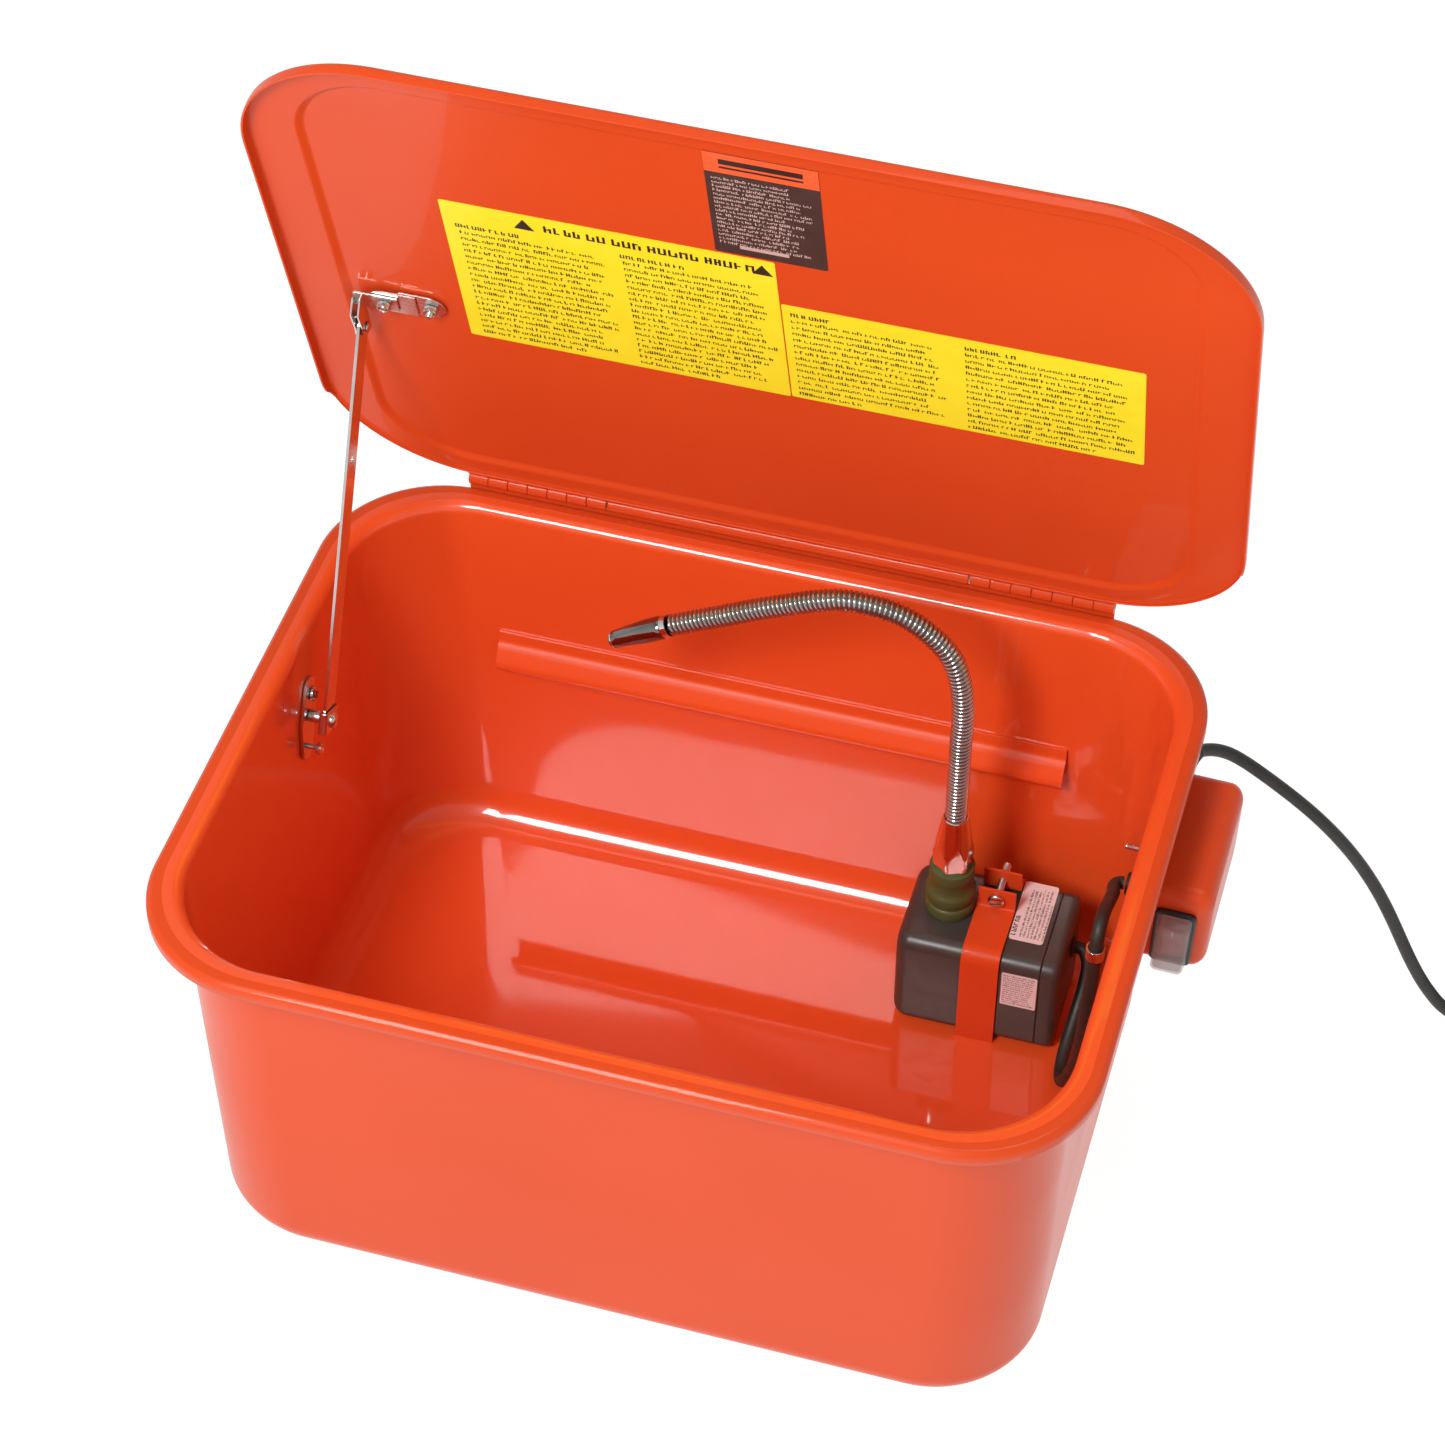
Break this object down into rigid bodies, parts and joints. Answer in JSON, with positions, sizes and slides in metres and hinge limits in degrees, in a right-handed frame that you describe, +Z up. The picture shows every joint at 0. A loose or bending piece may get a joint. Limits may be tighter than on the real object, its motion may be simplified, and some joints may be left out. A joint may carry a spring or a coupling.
{
  "type": "parts washer tank",
  "caption": "Bench-top parts washer: a pressed steel tank with a hinged lid on a fusible-link stay, a submersible pump with a flexible spout, and a switch box with its mains lead.",
  "frame": {"origin": "middle of the tank's flat base, on the surface it stands on", "axes": "+Z up, +X along the tank's long side towards the switch box, +Y towards the lid's hinge"},
  "size_m": [0.7408, 0.4361, 0.6006],
  "materials": {
    "orange_paint": "gloss orange-red enamel",
    "zinc_steel": "bright zinc plate",
    "chromed_steel": "polished",
    "rotor_steel": "satin",
    "pump_plastic": "fine moulded texture",
    "green_plastic": "satin",
    "copper_windings": "enamelled wire and core",
    "black_plastic": "satin",
    "black_rubber": "matt",
    "solder_link_brass": "brushed",
    "yellow_label": "printed sticker",
    "dark_label": "printed plate with an orange header",
    "white_label": "printed sticker",
    "clear_plastic": "clear, soft",
    "red_plastic": "gloss"
  },
  "bodies": {
    "base": {"tank_shell": "orange_paint", "rear_ledge": "orange_paint", "hinge_left_tank_leaf": "orange_paint", "hinge_left_pin": "zinc_steel", "hinge_right_tank_leaf": "orange_paint", "hinge_right_pin": "zinc_steel", "stay_bracket": "zinc_steel", "stay_bracket_screw": "zinc_steel", "stay_stop_stud": "zinc_steel", "stay_swivel_pin": "zinc_steel", "pump_housing": "pump_plastic", "pump_end_cap": "pump_plastic", "pump_stator": "copper_windings", "pump_label_top": "white_label", "pump_label_front": "white_label", "strap_front": "orange_paint", "strap_rear": "orange_paint", "strap_screw": "zinc_steel", "strap_nut": "zinc_steel", "outlet_fitting": "green_plastic", "coupling_nut": "chromed_steel", "spout_root": "chromed_steel", "pump_cable": "black_rubber", "pump_cable_boot": "black_rubber", "cable_gland": "black_plastic", "cable_clip": "zinc_steel", "cable_clip_screw": "zinc_steel", "box_gasket": "black_rubber", "switch_box": "orange_paint", "switch_box_bridge": "zinc_steel", "box_screw": "zinc_steel", "box_nut": "zinc_steel", "switch_bezel": "black_plastic", "switch_cover": "clear_plastic", "lead_sleeve": "black_rubber", "lead": "black_rubber", "lead_coil": "black_rubber", "lead_plug": "black_plastic"},
    "lid": {"lid_shell": "orange_paint", "lid_label_left": "yellow_label", "lid_label_right": "yellow_label", "lid_plate_centre": "dark_label", "lid_rolled_edge": "orange_paint", "hinge_left_lid_leaf": "orange_paint", "hinge_right_lid_leaf": "orange_paint", "fusible_link_lid_half": "solder_link_brass", "fusible_link_stay_half": "solder_link_brass", "link_lid_bolt": "zinc_steel", "link_lid_nut": "zinc_steel", "link_stay_bolt": "zinc_steel", "link_stay_nut": "zinc_steel", "stay_clevis": "zinc_steel", "stay_pin": "zinc_steel"},
    "stay": {"stay_bar": "zinc_steel"},
    "guide": {"stay_guide": "zinc_steel"},
    "spout": {"spout_hose": "chromed_steel", "spout_nozzle": "chromed_steel"},
    "rocker": {"rocker": "red_plastic"},
    "rotor": {"pump_rotor": "rotor_steel", "pump_impeller": "black_plastic"}
  },
  "joints": [
    {"name": "lid_hinge", "type": "hinge", "parent": "base", "child": "lid", "pos_m": [0, 0.1855, 0.24145], "axis": [1, 0, 0], "range_deg": [0, 72.3]},
    {"name": "stay_pivot", "type": "hinge", "parent": "lid", "child": "stay", "pos_m": [-0.21, 0.12885, 0.38607], "axis": [1, 0, 0], "range_deg": [-36.15, 0]},
    {"name": "guide_swivel", "type": "hinge", "parent": "base", "child": "guide", "pos_m": [-0.21, 0.03985, 0.1875], "axis": [1, 0, 0], "range_deg": [0, 36.15]},
    {"name": "spout_bend", "type": "hinge", "parent": "base", "child": "spout", "pos_m": [0.1157, 0.1087, 0.17], "axis": [0, -1, 0], "range_deg": [0, 50]},
    {"name": "rocker_tilt", "type": "hinge", "parent": "base", "child": "rocker", "pos_m": [0.24649, 0.0333, 0.17445], "axis": [0.9997, 0, -0.0241], "range_deg": [-20, 0]},
    {"name": "pump_spin", "type": "hinge", "parent": "base", "child": "rotor", "pos_m": [0.136, 0.1087, 0.034], "axis": [1, 0, 0], "continuous": true}
  ],
  "couplings": [
    {"joint": "stay_pivot", "follows": "lid_hinge", "ratio": -0.5},
    {"joint": "guide_swivel", "follows": "lid_hinge", "ratio": 0.5},
    {"joint": "spout_bend", "follows": "lid_hinge", "ratio": 0.69}
  ]
}
